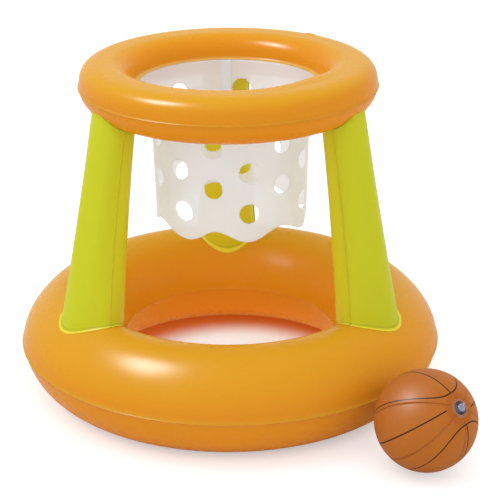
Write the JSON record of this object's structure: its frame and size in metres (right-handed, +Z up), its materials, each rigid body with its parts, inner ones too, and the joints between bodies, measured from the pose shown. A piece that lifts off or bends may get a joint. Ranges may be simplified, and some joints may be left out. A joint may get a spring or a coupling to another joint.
{
  "type": "floating basketball hoop",
  "caption": "Inflatable pool basketball hoop: wide floating base ring, tapered posts, hoop ring with a punched film net, and its small inflatable ball.",
  "frame": {"origin": "on the floor, under the middle of the box around the hoop and its ball; the hoop's own axis stands at x -0.0110, y 0.0299", "axes": "+Z up, along the hoop's axis; -Y faces the viewer of the picture, with the ball in front on the +X side"},
  "size_m": [0.6918, 0.7295, 0.5279],
  "materials": {
    "orange_film": "smooth glossy inflated PVC film",
    "green_film": "smooth semi-gloss inflated PVC film",
    "frosted_film": "frosted translucent PVC film",
    "ball_film": "printed PVC film, semi-gloss",
    "clear_valve": "clear soft PVC moulding"
  },
  "bodies": {
    "hoop": {"back_post_foot_disc": "green_film", "back_post_head_disc": "green_film", "back_post_inner_panel": "green_film", "back_post_outer_panel": "green_film", "base_ring_lower_skin": "orange_film", "base_ring_upper_skin": "orange_film", "base_valve_flange": "clear_valve", "hoop_ring_lower_skin": "orange_film", "hoop_ring_upper_skin": "orange_film", "hoop_valve_flange": "clear_valve", "left_post_foot_disc": "green_film", "left_post_head_disc": "green_film", "left_post_inner_panel": "green_film", "left_post_outer_panel": "green_film", "net_sleeve": "frosted_film", "right_post_foot_disc": "green_film", "right_post_head_disc": "green_film", "right_post_inner_panel": "green_film", "right_post_outer_panel": "green_film"},
    "base_valve_stem": {"base_valve_stem": "clear_valve"},
    "base_valve_plug": {"base_valve_plug": "clear_valve"},
    "hoop_valve_stem": {"hoop_valve_stem": "clear_valve"},
    "hoop_valve_plug": {"hoop_valve_plug": "clear_valve"},
    "ball": {"ball_gore_1": "ball_film", "ball_gore_2": "ball_film", "ball_gore_3": "ball_film", "ball_gore_4": "ball_film", "ball_gore_5": "ball_film", "ball_gore_6": "ball_film", "ball_pole_patch": "ball_film", "ball_valve_flange": "clear_valve"},
    "ball_valve_stem": {"ball_valve_stem": "clear_valve"},
    "ball_valve_plug": {"ball_valve_plug": "clear_valve"}
  },
  "joints": [
    {"name": "ball_set_down", "type": "slide", "parent": "hoop", "child": "ball", "axis": [0.6613, -0.7501, 0], "range_m": [0, 0.5]},
    {"name": "base_valve_push_in", "type": "slide", "parent": "hoop", "child": "base_valve_stem", "axis": [-0.5264, 0.6002, 0.6022], "range_m": [0, 0.01]},
    {"name": "base_valve_plug_flip", "type": "hinge", "parent": "base_valve_stem", "child": "base_valve_plug", "pos_m": [-0.22623, 0.26169, 0.12281], "axis": [0.3971, -0.4528, 0.7983], "range_deg": [0, 150]},
    {"name": "hoop_valve_push_in", "type": "slide", "parent": "hoop", "child": "hoop_valve_stem", "axis": [0.4274, 0.5004, 0.7529], "range_m": [0, 0.01]},
    {"name": "hoop_valve_plug_flip", "type": "hinge", "parent": "hoop_valve_stem", "child": "hoop_valve_plug", "pos_m": [0.12407, 0.20198, 0.52107], "axis": [-0.489, -0.5725, 0.6581], "range_deg": [0, 150]},
    {"name": "ball_valve_push_in", "type": "slide", "parent": "ball", "child": "ball_valve_stem", "axis": [0.5565, -0.6052, 0.5693], "range_m": [0, 0.01]},
    {"name": "ball_valve_plug_flip", "type": "hinge", "parent": "ball_valve_stem", "child": "ball_valve_plug", "pos_m": [0.31839, -0.32963, 0.12279], "axis": [-0.6775, 0.0661, 0.7325], "range_deg": [0, 150]}
  ]
}
